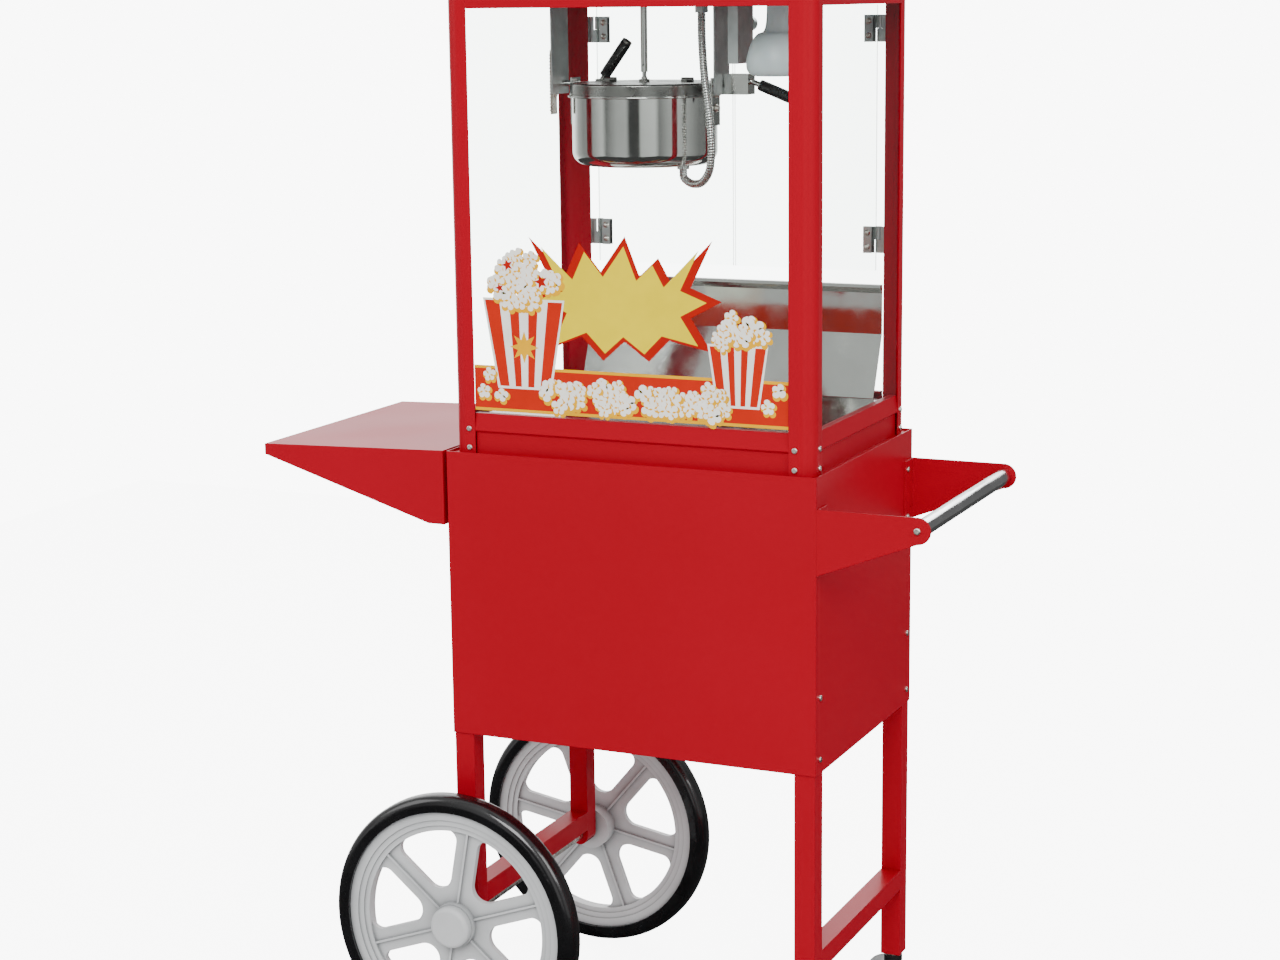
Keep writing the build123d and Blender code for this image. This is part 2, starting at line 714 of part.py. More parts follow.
def doors():
    """Two clear rear doors, each on two small hinges, with a clamp plate and a knob."""
    posts = []
    z0 = rim + door_bottom
    z1 = header_bottom - 2
    for name, side in (("left", 1), ("right", -1)):
        edge = cab_left + post_face if side == 1 else cab_right - post_face
        pin_x = edge + side * hinge_inboard
        x0, x1 = sorted((pin_x + side * 1.5, cab_middle - side * door_gap))
        save("door_" + name, block(x0, x1, door_plane, door_plane + door_pane, z0, z1))
        pieces = []
        for level in hinge_levels:
            z = rim + level
            leaf_y = door_plane + door_pane
            post, moving = hinge_halves(pin_x, hinge_y, z, side, leaf_y, hinge_inboard + 9, 20)
            a, b = sorted((edge - side * 9, edge - side * 1))
            post += block(a, b, cab_back, leaf_y + hinge_leaf, z - hinge_height / 2, z + hinge_height / 2)
            posts.append(post)
            pieces.append(moving)
            a, b = sorted((pin_x + side * 7, pin_x + side * 19))
            half = hinge_height / 2
            pieces.append(block(a, b, door_plane - hinge_leaf, door_plane, z - half, z + half))
            for shift in (-11, 11):
                spot = (pin_x + side * 13, leaf_y + hinge_leaf, z + shift)
                pieces.append(screw_head(spot, (0, 1, 0), 3, 1.8))
        knob_x = cab_middle - side * (door_gap + 16)
        knob_z = rim + window_top - 26
        knob = bar_y(door_plane + door_pane, door_plane + door_pane + 8, knob_x, knob_z, 5)
        knob += bar_y(door_plane + door_pane + 8, door_plane + door_pane + 18, knob_x, knob_z, 10)
        pieces.append(knob)
        save("door_" + name + "_fittings", *pieces)
    return posts


# ---------------------------------------------------------------- kettle
def kettle():
    """Drawn steel bowl on two trunnions, with a half lid, a hinged flap and a dump grip."""
    z0, z1 = rim + kettle_bottom, rim + kettle_rim
    tall = z1 - z0
    bowl = Cylinder(kettle_radius, tall)
    bowl = fillet(bowl.edges().filter_by(GeomType.CIRCLE).sort_by(Axis.Z)[0], kettle_corner)
    hollow = Pos(0, 0, kettle_wall) * Cylinder(kettle_radius - kettle_wall, tall)
    hollow = fillet(
        hollow.edges().filter_by(GeomType.CIRCLE).sort_by(Axis.Z)[0], kettle_corner - kettle_wall
    )
    bowl -= hollow
    bowl += Pos(0, 0, tall / 2 - 1) * (Cylinder(lid_radius, 2) - Cylinder(kettle_radius - kettle_wall, 3))
    bowl = Pos(kettle_x, kettle_y, (z0 + z1) / 2) * bowl
    gland = bar_z(z0 - 4, z0, conduit_end[0], conduit_end[1], 8)
    save("kettle_bowl", bowl + gland)

    lid_low = z1 + 0.3
    lid_high = rim + lid_top
    shell = Cylinder(lid_radius, lid_high - lid_low)
    shell = fillet(shell.edges().filter_by(GeomType.CIRCLE).sort_by(Axis.Z)[-1], 3)
    shell -= Pos(0, 0, -lid_sheet) * Cylinder(lid_radius - lid_sheet, lid_high - lid_low)
    shell = Pos(kettle_x, kettle_y, (lid_low + lid_high) / 2) * shell
    split = kettle_y + flap_offset
    far = 2 * kettle_radius
    x0, x1 = kettle_x - far, kettle_x + far
    fixed = shell & block(x0, x1, split - far, split - 0.5, z1 - 5, lid_high + 5)
    flap = shell & block(x0, x1, split + 0.5, split + far, z1 - 5, lid_high + 5)
    hub = bar_z(rim + lid_top - 5, rim + hub_top, kettle_x, kettle_y, 7)
    fixed += hub
    fixed -= bar_z(z1, rim + hub_top + 1, kettle_x, kettle_y, stirrer_radius + running_clearance)
    pin_z = lid_high + flap_barrel_radius
    barrel = flap_barrel_radius
    for x in (kettle_x - 55, kettle_x + 55):
        lug = bar_x(x - 8, x - 0.2, split, pin_z, barrel)
        lug += block(x - 8, x - 0.2, split - barrel, split - 0.5, lid_high - 1, pin_z)
        fixed += lug + bar_x(x - 8, x + 7.5, split, pin_z, flap_pin_radius)
        clear = bar_x(x - 0.1, x + 9, split, pin_z, barrel + 0.4)
        fixed -= clear - bar_x(x - 0.2, x + 7.5, split, pin_z, flap_pin_radius)
        ear = bar_x(x, x + 8, split, pin_z, barrel)
        ear += block(x, x + 8, split + 0.5, split + barrel, lid_high - 1, pin_z)
        flap += ear
        flap -= bar_x(x - 1, x + 9, split, pin_z, flap_pin_radius + running_clearance)
        flap -= bar_x(x - 8.3, x, split, pin_z, barrel + 0.4)
    save("kettle_lid", fixed)
    foot = (kettle_x - 75, kettle_y + 30, lid_high + 2)
    lean = Vector(0.6, 0, 0.8)
    neck = bar_between(foot, tuple(Vector(*foot) + lean * 6), 3.5)
    grip = bar_between(tuple(Vector(*foot) + lean * 6), tuple(Vector(*foot) + lean * (6 + grip_length)), grip_radius)
    base = block(foot[0] - 6, foot[0] + 6, foot[1] - 8, foot[1] + 8, lid_high - 0.5, lid_high + 3)
    save("kettle_flap", flap, grip, neck + base)

    arms = []
    for side in (-1, 1):
        a, b = sorted((kettle_x + side * (trunnion_face - 2.5), kettle_x + side * trunnion_face))
        arm = block(a, b, kettle_y - 13, kettle_y + 13, z1 - 40, pivot_z + 8)
        a, b = sorted((kettle_x + side * (kettle_radius - 1), kettle_x + side * (trunnion_face - 2)))
        pad = block(a, b, kettle_y - 13, kettle_y + 13, z1 - 40, z1 - 16)
        pad -= bar_z(z0, z1, kettle_x, kettle_y, kettle_radius + 0.02)
        reach = hanger_face + hanger_sheet + 4
        a, b = sorted((kettle_x + side * (trunnion_face - 1), kettle_x + side * reach))
        arms.append(arm + pad + bar_x(a, b, kettle_y, pivot_z, trunnion_radius))
    strap_x = kettle_x + hanger_face + hanger_sheet + 2
    strap = block(strap_x, strap_x + 32, kettle_y - 12, kettle_y - 10, pivot_z - 13, pivot_z + 13)
    strap += block(strap_x, strap_x + 32, kettle_y + 10, kettle_y + 12, pivot_z - 13, pivot_z + 13)
    strap += block(strap_x + 30, strap_x + 32, kettle_y - 12, kettle_y + 12, pivot_z - 13, pivot_z + 13)
    strap += block(strap_x, strap_x + 2, kettle_y - 12, kettle_y + 12, pivot_z - 13, pivot_z + 13)
    arms[1] += strap
    start = Vector(strap_x + 31, kettle_y, pivot_z + 4)
    lean = Vector(0.932, 0, -0.362)
    stud = bar_between(tuple(start), tuple(start + lean * 14), 3.5)
    arms[1] += stud
    handle = bar_between(tuple(start + lean * 14), tuple(start + lean * (14 + grip_length)), grip_radius)
    save("dump_handle", *arms, handle)


def hangers():
    """Two sheet hangers from the ceiling; the kettle's trunnions turn in their feet."""
    plates = []
    for side in (-1, 1):
        a, b = sorted((kettle_x + side * hanger_face, kettle_x + side * (hanger_face + hanger_sheet)))
        foot = pivot_z - 13
        plate = block(a, b, kettle_y - hanger_front, kettle_y + hanger_back, foot, ceiling)
        a2, b2 = sorted((kettle_x + side * hanger_face, kettle_x + side * (hanger_face + 14)))
        plate += block(a2, b2, kettle_y - hanger_front, kettle_y + hanger_back, ceiling - hanger_sheet, ceiling)
        plate -= bar_x(a - 3, b + 3, kettle_y, pivot_z, trunnion_radius + running_clearance)
        plates.append(plate)
    save("hangers", *plates)


def drive():
    """Gear motor above the ceiling; its rod ends in a fork that turns the stirrer's blade."""
    z0 = ceiling + sheet
    gearbox = block(kettle_x - 40, kettle_x + 40, kettle_y - 32, kettle_y + 32, z0, z0 + 34)
    gearbox += bar_x(kettle_x + 40, kettle_x + 95, kettle_y, z0 + 24, 22)
    gearbox = fillet(gearbox.edges().filter_by(Axis.Z), 4)
    gearbox -= bar_z(z0 - 1, z0 + 30, kettle_x, kettle_y, rod_radius + running_clearance)
    save("gear_motor", gearbox)
    rod = bar_z(rim + fork_bottom, z0 + 29.5, kettle_x, kettle_y, rod_radius)
    slot_half = blade_thickness / 2 + 0.25
    rod -= block(
        kettle_x - slot_half,
        kettle_x + slot_half,
        kettle_y - 9,
        kettle_y + 9,
        rim + fork_bottom - 1,
        rim + fork_ceiling,
    )
    save("drive_rod", rod)
    floor = rim + kettle_bottom + kettle_wall
    shaft = bar_z(floor + 2, rim + hub_top + 3, kettle_x, kettle_y, stirrer_radius)
    half_t, half_w = blade_thickness / 2, blade_width / 2
    shaft += block(
        kettle_x - half_t,
        kettle_x + half_t,
        kettle_y - half_w,
        kettle_y + half_w,
        rim + hub_top + 2,
        rim + blade_top,
    )
    reach = kettle_radius - kettle_corner - 4
    arm = Box(2 * reach, 9, 3)
    shaft += Pos(kettle_x, kettle_y, floor + 4) * Rot(0, 0, 35) * arm
    upper = Box(2 * reach - 40, 6, 3)
    shaft += Pos(kettle_x, kettle_y, floor + 40) * Rot(0, 0, 125) * upper
    save("stirrer", shaft)


conduit_end = (left + 288.0, front + 130.0)
conduit_route = [
    (left + 326.5, front + 103.0, ceiling - 26),
    (left + 326.5, front + 103.0, ceiling - 56),
    (left + 330.0, front + 101.0, rim + 490.0),
    (left + 338.0, front + 99.0, rim + 440.0),
    (left + 341.0, front + 99.5, rim + 395.0),
    (left + 337.0, front + 102.0, rim + 366.0),
    (left + 322.0, front + 111.0, rim + 350.0),
    (left + 302.0, front + 122.5, rim + 348.5),
    (conduit_end[0], conduit_end[1], rim + 356.0),
    (conduit_end[0], conduit_end[1], rim + kettle_bottom - 4.2),
]


def conduit():
    """Armoured conduit from the ceiling to the kettle's underside, with its hex fitting."""
    runs = [
        (Vector(*b) - Vector(*a)) for a, b in zip(conduit_route[:-1], conduit_route[1:])
    ]
    radii = []
    for before, after in zip(runs[:-1], runs[1:]):
        turn = math.radians(before.get_angle(after))
        radii.append(0.42 * min(before.length, after.length) / math.tan(turn / 2))
    path = FilletPolyline(*conduit_route, radius=radii)
    print("conduit radii", [round(r, 1) for r in radii], "length", round(path.length, 1))
    start = Plane(origin=conduit_route[0], z_dir=runs[0])
    tube = sweep(start * Circle(conduit_radius), path=path)
    save("conduit", tube)
    x, y, z = conduit_route[0]
    nut = Pos(x, y, z + 6.5) * extrude(RegularPolygon(9, 6), amount=6.5, both=True)
    pipes = nut
    for shift in (-4.2, 4.2):
        pipes += bar_z(z + 12, ceiling, x + shift, y, 3.6)
    save("conduit_fitting", pipes)


def lamp():
    """Frosted reflector lamp, its holder above the ceiling, and a shade plate beside it."""
    neck = ceiling - 2

    def envelope(inset):
        low = rim + lamp_bottom + inset
        wide = lamp_radius - inset
        throat = 13.5 - inset
        top = neck + 12 - inset
        curve = Spline(
            (wide - 12, 0, low),
            (wide, 0, low + 20 - inset),
            (wide - 14, 0, low + 52 - inset),
            (throat, 0, neck - 12),
            tangents=((1, 0, 0.1), (0, 0, 1)),
        )
        sides = Polyline((throat, 0, neck - 12), (throat, 0, top), (0, 0, top), (0, 0, low), (wide - 12, 0, low))
        return revolve(make_face([curve, *sides.edges()]), axis=Axis.Z)

    save("lamp", Pos(lamp_x, lamp_y, 0) * (envelope(0) - envelope(lamp_glass)))
    holder = bar_z(ceiling - 8, ceiling + 42, lamp_x, lamp_y, 16.8)
    holder -= bar_z(ceiling - 9, ceiling + 10.5, lamp_x, lamp_y, 13.8)
    save("lamp_holder", holder)
    x = lamp_x - lamp_radius - 12
    y0, y1 = lamp_y - 10, lamp_y + 42
    shade = block(x, x + sheet, y0, y1, rim + 502, ceiling)
    shade += block(x - 12, x, y0, y0 + sheet, rim + 502, ceiling)
    save("lamp_shade", shade)


def switches():
    """Three rockers in one row of bezels on the rear header, and the mains cable's gland."""
    pivot_y = cab_back - 1.5
    fittings = []
    for name, x in zip(("light", "warmer", "motor"), switch_xs):
        outline = [(-3, -10.4), (5.5, -9.2), (3.6, 0), (5.5, 9.2), (-3, 10.4)]
        rocker = prism_x(outline, -rocker_width / 2, rocker_width / 2)
        save("rocker_" + name, Pos(x, pivot_y, switch_z) * Rot(-10, 0, 0) * rocker)
        half_x, half_z = rocker_width / 2 + 3, rocker_radius + 3
        bezel = block(x - half_x, x + half_x, cab_back, cab_back + 2, switch_z - half_z, switch_z + half_z)
        half_x, half_z = rocker_width / 2 + bezel_gap, rocker_radius + bezel_gap
        bezel -= block(x - half_x, x + half_x, cab_back - 1, cab_back + 3, switch_z - half_z, switch_z + half_z)
        case = block(x - half_x, x + half_x, cab_back - 26, cab_back, switch_z - half_z, switch_z + half_z)
        inner_x, inner_z = rocker_width / 2 + 0.1, rocker_radius + 0.1
        case -= block(x - inner_x, x + inner_x, pivot_y - 11.5, cab_back + 1, switch_z - inner_z, switch_z + inner_z)
        fittings.append(bezel + case)
    gland = bar_y(cab_back - 8, cab_back + 14, gland_x, gland_z, gland_radius - 0.1)
    gland += bar_y(cab_back, cab_back + 5, gland_x, gland_z, gland_radius + 4)
    gland -= bar_y(cab_back - 9, cab_back + 15, gland_x, gland_z, 4)
    fittings.append(gland)
    save("switch_bezels_and_gland", *fittings)


# ---------------------------------------------------------------- the whole object
cart_box()
hinge_posts = cart_door()
legs()
axle()
wheel("front", -1, 20)
wheel("rear", 1, 10)
stems = [caster(name, y) for name, y in zip(("front", "rear"), caster_ys)]
save("caster_stems", *stems)
side_shelf()
screws = push_handle() + cart_screws()
save("screws", *screws)
corner_posts()
base_rails()
header()
tray()
drawer()
rear_guard()
panes()
hinge_posts += doors()
save("hinge_posts", *hinge_posts)
kettle()
hangers()
drive()
conduit()
lamp()
switches()
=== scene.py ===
import bmesh
import bpy
import math
import random
from mathutils import Matrix, Vector


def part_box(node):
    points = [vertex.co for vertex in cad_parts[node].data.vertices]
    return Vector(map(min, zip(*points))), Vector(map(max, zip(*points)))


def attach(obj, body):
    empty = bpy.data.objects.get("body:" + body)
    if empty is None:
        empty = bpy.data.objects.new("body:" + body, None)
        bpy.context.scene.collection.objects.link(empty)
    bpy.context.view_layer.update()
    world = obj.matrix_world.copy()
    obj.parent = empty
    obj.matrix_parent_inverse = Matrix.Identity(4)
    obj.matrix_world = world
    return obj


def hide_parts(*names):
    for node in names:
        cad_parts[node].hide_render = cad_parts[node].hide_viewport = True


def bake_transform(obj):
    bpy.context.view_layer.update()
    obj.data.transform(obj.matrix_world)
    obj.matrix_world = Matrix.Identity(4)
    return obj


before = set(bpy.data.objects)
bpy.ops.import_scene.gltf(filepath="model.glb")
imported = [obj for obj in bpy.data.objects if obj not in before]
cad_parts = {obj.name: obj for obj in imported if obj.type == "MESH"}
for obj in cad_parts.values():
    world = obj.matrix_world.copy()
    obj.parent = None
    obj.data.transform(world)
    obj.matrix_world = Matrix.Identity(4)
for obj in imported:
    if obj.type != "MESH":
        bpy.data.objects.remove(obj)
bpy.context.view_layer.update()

# The view: the onlooker stands a little to the maker's right and looks slightly down on the
# cabinet with a long lens, so the roof and the feet run out of the picture.
camera_data = bpy.data.cameras.new("camera")
camera = bpy.data.objects.new("camera", camera_data)
bpy.context.scene.collection.objects.link(camera)
bpy.context.scene.camera = camera
camera_data.lens = 69.45
camera_data.clip_end = 60
camera_place = Vector((1.3684, -3.0044, 1.4181))
camera_yaw, camera_pitch, camera_roll = 0.4268, -0.1951, -0.0117
camera_turn = Matrix.Rotation(camera_yaw, 4, "Z") @ Matrix.Rotation(math.pi / 2 + camera_pitch, 4, "X")
camera_turn = camera_turn @ Matrix.Rotation(camera_roll, 4, "Z")
camera.matrix_world = Matrix.Translation(camera_place) @ camera_turn


# The studio: a white floor, a white surround and four large soft lamps. What the enamel and
# steel mirror is darker in front than behind, as it is round a product table.
def srgb(code):
    """A hex colour as linear RGBA."""
    channels = [int(code[i : i + 2], 16) / 255 for i in (0, 2, 4)]
    return [c / 12.92 if c <= 0.04045 else ((c + 0.055) / 1.055) ** 2.4 for c in channels] + [1.0]


def add(tree, kind, values=None, links=None, **settings):
    """One node: settings are its own, values its sockets' constants, links what feeds them."""
    node = tree.nodes.new(kind)
    for name, value in settings.items():
        setattr(node, name, value)
    for socket, value in (values or {}).items():
        node.inputs[socket].default_value = value
    for socket, source in (links or {}).items():
        tree.links.new(source, node.inputs[socket])
    return node


def finish(name, **sockets):
    """A material with a Principled shader and these socket values."""
    material = bpy.data.materials.new(name)
    material.use_nodes = True
    shader = material.node_tree.nodes["Principled BSDF"]
    for socket, value in sockets.items():
        shader.inputs[socket.replace("_", " ")].default_value = value
    return material, material.node_tree, shader


def shaped(name, form):
    """The bmesh as a piece of the scene."""
    mesh = bpy.data.meshes.new(name)
    form.to_mesh(mesh)
    form.free()
    piece = bpy.data.objects.new(name, mesh)
    bpy.context.scene.collection.objects.link(piece)
    return piece


world = bpy.data.worlds.new("studio")
world.use_nodes = True
bpy.context.scene.world = world
sky_tree = world.node_tree
sky = sky_tree.nodes["Background"]
sky_place = add(sky_tree, "ShaderNodeTexCoord")
sky_split = add(sky_tree, "ShaderNodeSeparateXYZ", links={"Vector": sky_place.outputs["Generated"]})
sky_turn = add(
    sky_tree,
    "ShaderNodeMath",
    links={0: sky_split.outputs["Y"], 1: sky_split.outputs["X"]},
    operation="ARCTAN2",
)
sky_share = add(
    sky_tree,
    "ShaderNodeMapRange",
    {"From Min": -math.pi, "From Max": math.pi},
    {"Value": sky_turn.outputs["Value"]},
)
sky_bands = add(sky_tree, "ShaderNodeValToRGB", links={"Fac": sky_share.outputs["Result"]})
bands = sky_bands.color_ramp.elements
left_tone = 0.16
bands[0].position, bands[0].color = 0.0, (left_tone, left_tone, left_tone, 1)
bands[1].position, bands[1].color = 1.0, (left_tone, left_tone, left_tone, 1)
# Each tone of the surround has its place as a share of one turn, from -X by way of -Y.
for spot, tone in (
    (0.07, 0.20),
    (0.12, 0.42),
    (0.14, 0.08),
    (0.19, 0.28),
    (0.235, 0.30),
    (0.25, 0.03),
    (0.29, 0.03),
    (0.30, 0.36),
    (0.36, 0.42),
    (0.38, 0.12),
    (0.45, 0.34),
    (0.58, 0.10),
    (0.72, 0.05),
    (0.77, 0.90),
    (0.90, 1.0),
    (0.95, 0.30),
):
    band = bands.new(spot)
    band.color = (tone, tone, tone, 1)
sky_height = add(
    sky_tree,
    "ShaderNodeMapRange",
    {"From Min": 0.35, "From Max": 0.9, "To Min": 0.0, "To Max": 0.35},
    {"Value": sky_split.outputs["Z"]},
)
surround_gain, surround_seen, floor_seen = 2.6, 9.0, 7.5
sky_level = add(
    sky_tree,
    "ShaderNodeMath",
    {1: surround_gain},
    {0: sky_bands.outputs["Color"], 2: sky_height.outputs["Result"]},
    operation="MULTIPLY_ADD",
)
sky_path = add(sky_tree, "ShaderNodeLightPath")
sky_mix = add(
    sky_tree,
    "ShaderNodeMapRange",
    {"To Max": surround_seen},
    {"Value": sky_path.outputs["Is Camera Ray"], "To Min": sky_level.outputs["Value"]},
)
sky_tree.links.new(sky_mix.outputs["Result"], sky.inputs["Strength"])
sky.inputs["Color"].default_value = srgb("FFFFFF")

floor_form = bmesh.new()
bmesh.ops.create_grid(floor_form, x_segments=1, y_segments=1, size=3)
floor = shaped("floor", floor_form)
floor_finish, floor_tree, floor_shader = finish("white_studio_paper", Roughness=0.95, Specular_IOR_Level=0.1)
floor_path = add(floor_tree, "ShaderNodeLightPath")
floor_tone = add(
    floor_tree,
    "ShaderNodeMapRange",
    {"To Min": 0.7, "To Max": 0.03},
    {"Value": floor_path.outputs["Is Glossy Ray"]},
)
floor_tree.links.new(floor_tone.outputs["Result"], floor_shader.inputs["Base Color"])
floor_shader.inputs["Emission Color"].default_value = srgb("FFFFFF")
floor_glow = add(
    floor_tree,
    "ShaderNodeMapRange",
    {"To Min": 0.0, "To Max": floor_seen},
    {"Value": floor_path.outputs["Is Camera Ray"]},
)
floor_tree.links.new(floor_glow.outputs["Result"], floor_shader.inputs["Emission Strength"])
floor.data.materials.append(floor_finish)

lamp_aim = Vector((0, 0, 0.95))
for lamp_name, lamp_spot, lamp_size, lamp_power in (
    ("key", (0.9, -4.0, 3.6), 2.2, 150),
    ("side", (4.0, -1.4, 2.9), 2.0, 75),
    ("fill", (-3.6, -2.2, 2.6), 2.4, 40),
    ("rim", (0.2, 3.4, 3.2), 2.4, 110),
):
    lamp_data = bpy.data.lights.new(lamp_name, "AREA")
    lamp_data.size = lamp_size
    lamp_data.energy = lamp_power
    lamp_object = bpy.data.objects.new(lamp_name, lamp_data)
    lamp_turn = (lamp_aim - Vector(lamp_spot)).to_track_quat("-Z", "Y").to_matrix().to_4x4()
    lamp_object.matrix_world = Matrix.Translation(lamp_spot) @ lamp_turn
    bpy.context.scene.collection.objects.link(lamp_object)


# Cart and cabinet sheet metal: cold-rolled steel, cut, folded and powder coated crimson.
# The coat is glossy with a faint orange peel, and it rounds every cut edge slightly.
def wear(tree, shader, socket, low, high, scale, detail=4.0):
    """Drives one socket between two values by a soft noise; scale is in patches per metre."""
    place = add(tree, "ShaderNodeTexCoord")
    noise = add(
        tree, "ShaderNodeTexNoise", {"Scale": scale, "Detail": detail}, {"Vector": place.outputs["Object"]}
    )
    spread = add(
        tree,
        "ShaderNodeMapRange",
        {"From Min": 0.35, "From Max": 0.65, "To Min": low, "To Max": high},
        {"Value": noise.outputs["Fac"]},
    )
    tree.links.new(spread.outputs["Result"], shader.inputs[socket])


def tint(tree, shader, first, second, scale):
    """Varies the base colour between two close tones in soft patches."""
    place = add(tree, "ShaderNodeTexCoord")
    noise = add(
        tree, "ShaderNodeTexNoise", {"Scale": scale, "Detail": 3.0}, {"Vector": place.outputs["Object"]}
    )
    ramp = add(tree, "ShaderNodeValToRGB", links={"Fac": noise.outputs["Fac"]})
    ramp.color_ramp.elements[0].position = 0.35
    ramp.color_ramp.elements[0].color = srgb(first)
    ramp.color_ramp.elements[1].position = 0.65
    ramp.color_ramp.elements[1].color = srgb(second)
    tree.links.new(ramp.outputs["Color"], shader.inputs["Base Color"])


def paint(material, *names):
    """Gives a carried-over CAD node its finish."""
    for name in names:
        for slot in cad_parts[name].material_slots:
            slot.material = material


enamel, enamel_tree, enamel_shader = finish(
    "crimson_powder_coat", Roughness=0.3, IOR=1.5, Specular_IOR_Level=0.12
)
tint(enamel_tree, enamel_shader, "A2001A", "A7001D", 2.0)
wear(enamel_tree, enamel_shader, "Roughness", 0.30, 0.33, 6.0, 1.0)
enamel_place = add(enamel_tree, "ShaderNodeTexCoord")
orange_peel = add(
    enamel_tree,
    "ShaderNodeTexNoise",
    {"Scale": 450.0, "Detail": 1.0},
    {"Vector": enamel_place.outputs["Object"]},
)
rounded_edge = add(enamel_tree, "ShaderNodeBevel", {"Radius": 0.0012}, samples=4)
enamel_bump = add(
    enamel_tree,
    "ShaderNodeBump",
    {"Strength": 0.05, "Distance": 0.0003},
    {"Height": orange_peel.outputs["Fac"], "Normal": rounded_edge.outputs["Normal"]},
)
enamel_tree.links.new(enamel_bump.outputs["Normal"], enamel_shader.inputs["Normal"])
paint(
    enamel,
    "cart_front_panel",
    "cart_side_panels",
    "cart_rear_frame",
    "cart_door",
    "cart_deck",
    "cart_floor",
    "left_legs",
    "right_legs",
    "cross_members",
    "side_shelf",
    "handle_brackets",
    "corner_posts",
    "base_rail_front",
    "base_rail_rear",
    "base_rail_sides",
    "header_front",
    "header_rear",
    "header_sides",
    "roof",
)

# Big wheels: six-spoke rims and hub caps, moulded in light grey polypropylene. The skin is satin with faint
# flow marks, and shade is painted into its colour, darker where ribs and rim meet.
grey_plastic, grey_tree, grey_shader = finish("light_grey_polypropylene", Roughness=0.42, IOR=1.49)
tint(grey_tree, grey_shader, "C3C5C6", "CDCFD0", 14.0)
# Painted shade: an occlusion node blends the base colour toward dark grey 5F6163 in crevices and where parts
# meet.
grey_shade = add(grey_tree, "ShaderNodeAmbientOcclusion", {"Distance": 0.02}, samples=6)
grey_painted_crevice_shade = add(
    grey_tree,
    "ShaderNodeMapRange",
    {"From Min": 0.45, "From Max": 0.95, "To Min": 0.30, "To Max": 1.0},
    {"Value": grey_shade.outputs["AO"]},
)
# Of a colour Mix node's sockets, 0 is the share, 6 and 7 the two colours and 2 what comes out.
grey_socket = grey_shader.inputs["Base Color"]
grey_painted_shade_mix = add(
    grey_tree,
    "ShaderNodeMix",
    {6: srgb("5F6163")},
    {0: grey_painted_crevice_shade.outputs["Result"], 7: grey_socket.links[0].from_socket},
    data_type="RGBA",
)
grey_tree.links.new(grey_painted_shade_mix.outputs[2], grey_socket)
wear(grey_tree, grey_shader, "Roughness", 0.36, 0.5, 30.0)
paint(grey_plastic, "front_wheel_rim", "rear_wheel_rim", "front_hub_cap", "rear_hub_cap")

# Tyres: solid rubber rings, moulded and stretched over the rims. Their black skin is glossy
# and shows a little dust.
rubber, rubber_tree, rubber_shader = finish("black_moulded_rubber", Roughness=0.2, IOR=1.52, Coat_Weight=0.4)
tint(rubber_tree, rubber_shader, "09090A", "101012", 20.0)
wear(rubber_tree, rubber_shader, "Roughness", 0.16, 0.32, 18.0)
paint(rubber, "front_wheel_tyre", "rear_wheel_tyre")

# Casters, switch bezels and gland: black nylon from moulds with a fine spark-eroded grain,
# which leaves them matt.
nylon, nylon_tree, nylon_shader = finish("black_moulded_nylon", Roughness=0.4, IOR=1.53)
tint(nylon_tree, nylon_shader, "101011", "1B1B1D", 40.0)
nylon_place = add(nylon_tree, "ShaderNodeTexCoord")
nylon_grain = add(
    nylon_tree,
    "ShaderNodeTexNoise",
    {"Scale": 900.0, "Detail": 2.0},
    {"Vector": nylon_place.outputs["Object"]},
)
nylon_bump = add(
    nylon_tree,
    "ShaderNodeBump",
    {"Strength": 0.15, "Distance": 0.0002},
    {"Height": nylon_grain.outputs["Fac"]},
)
nylon_tree.links.new(nylon_bump.outputs["Normal"], nylon_shader.inputs["Normal"])
paint(
    nylon,
    "front_caster_hood",
    "rear_caster_hood",
    "front_caster_wheels",
    "rear_caster_wheels",
    "switch_bezels_and_gland",
)

# Push bar: drawn steel tube with bright chrome plate, screwed between the two handle
# brackets and lightly scuffed where hands hold it.
chrome, chrome_tree, chrome_shader = finish("bright_chrome_plate", Base_Color=srgb("DCDDDE"), Metallic=1.0)
wear(chrome_tree, chrome_shader, "Roughness", 0.06, 0.2, 25.0)
paint(chrome, "handle_bar")

# Screws, axle and caster stems: turned steel with bright zinc plate. The plate is slightly
# clouded, so its gloss changes from spot to spot.
zinc, zinc_tree, zinc_shader = finish("bright_zinc_plate", Metallic=1.0)
tint(zinc_tree, zinc_shader, "D8D5CC", "EFEDE6", 90.0)
wear(zinc_tree, zinc_shader, "Roughness", 0.22, 0.42, 120.0)
paint(zinc, "screws", "axle", "caster_stems")

# Hangers, ceiling, shade, hinges and conduit fitting: zinc-coated steel, cut and folded. The
# coat is pale and satin, with soft patches.
galvanised, galvanised_tree, galvanised_shader = finish("galvanised_sheet", Metallic=1.0)
tint(galvanised_tree, galvanised_shader, "B9BDBE", "D3D6D6", 22.0)
wear(galvanised_tree, galvanised_shader, "Roughness", 0.3, 0.46, 60.0)
paint(
    galvanised,
    "hangers",
    "ceiling_plate",
    "lamp_shade",
    "hinge_posts",
    "door_left_fittings",
    "door_right_fittings",
    "conduit_fitting",
)

# Kettle, stirrer, drive rod, dump handle, tray, guard and drawer: stainless steel, polished
# like a mirror, with a faint change of gloss from wiping.
polished, polished_tree, polished_shader = finish("mirror_polished_stainless", Metallic=1.0)
tint(polished_tree, polished_shader, "C9C8C5", "D8D7D4", 9.0)
wear(polished_tree, polished_shader, "Roughness", 0.05, 0.14, 30.0)
paint(
    polished,
    "kettle_bowl",
    "tray_floor",
    "rear_guard",
    "drawer",
    "stirrer",
    "drive_rod",
    "dump_handle",
)
